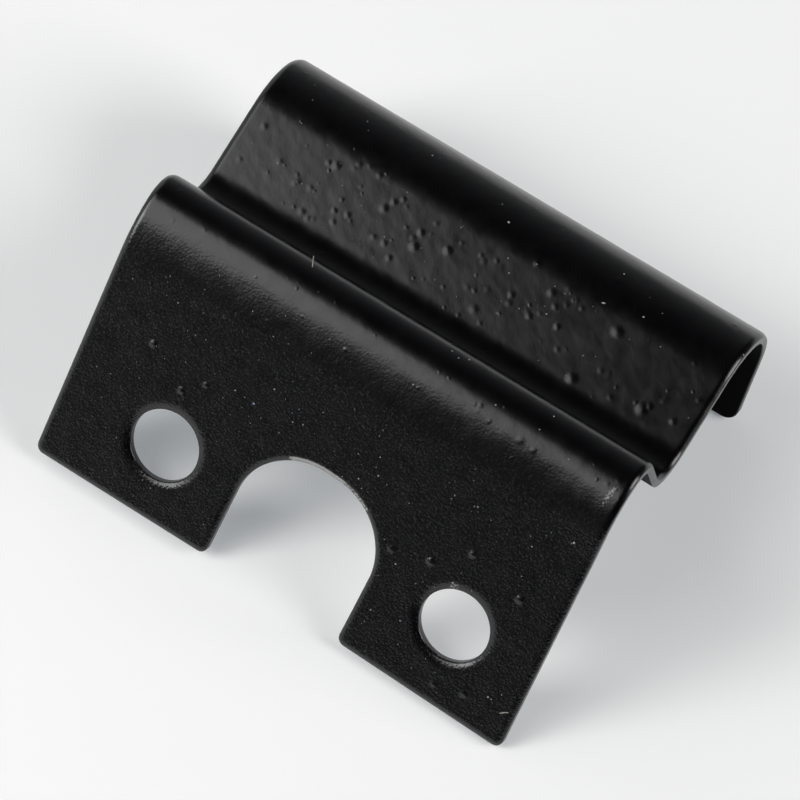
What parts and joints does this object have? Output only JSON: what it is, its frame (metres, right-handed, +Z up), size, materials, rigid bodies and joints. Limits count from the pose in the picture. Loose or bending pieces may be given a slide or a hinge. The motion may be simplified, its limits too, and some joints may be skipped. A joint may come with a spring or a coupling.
{
  "type": "folded sheet spring clip",
  "caption": "Bent sheet spring clip with a slanted flange pierced by round fixing holes and an open notch, a raised crest, a valley and a hooked rear lip.",
  "frame": {"origin": "centre of the bounding box on the floor that the flange's free edge and the lip's free edge stand on", "axes": "+X along the bends, to the viewer's right when facing the flange; +Y from the pierced flange back to the hook; +Z up"},
  "size_m": [0.032, 0.0276, 0.0139],
  "materials": {
    "black_coat": "satin black coating with fine orange peel and pinholes"
  },
  "bodies": {
    "root": {"clip": "black_coat"}
  },
  "joints": []
}
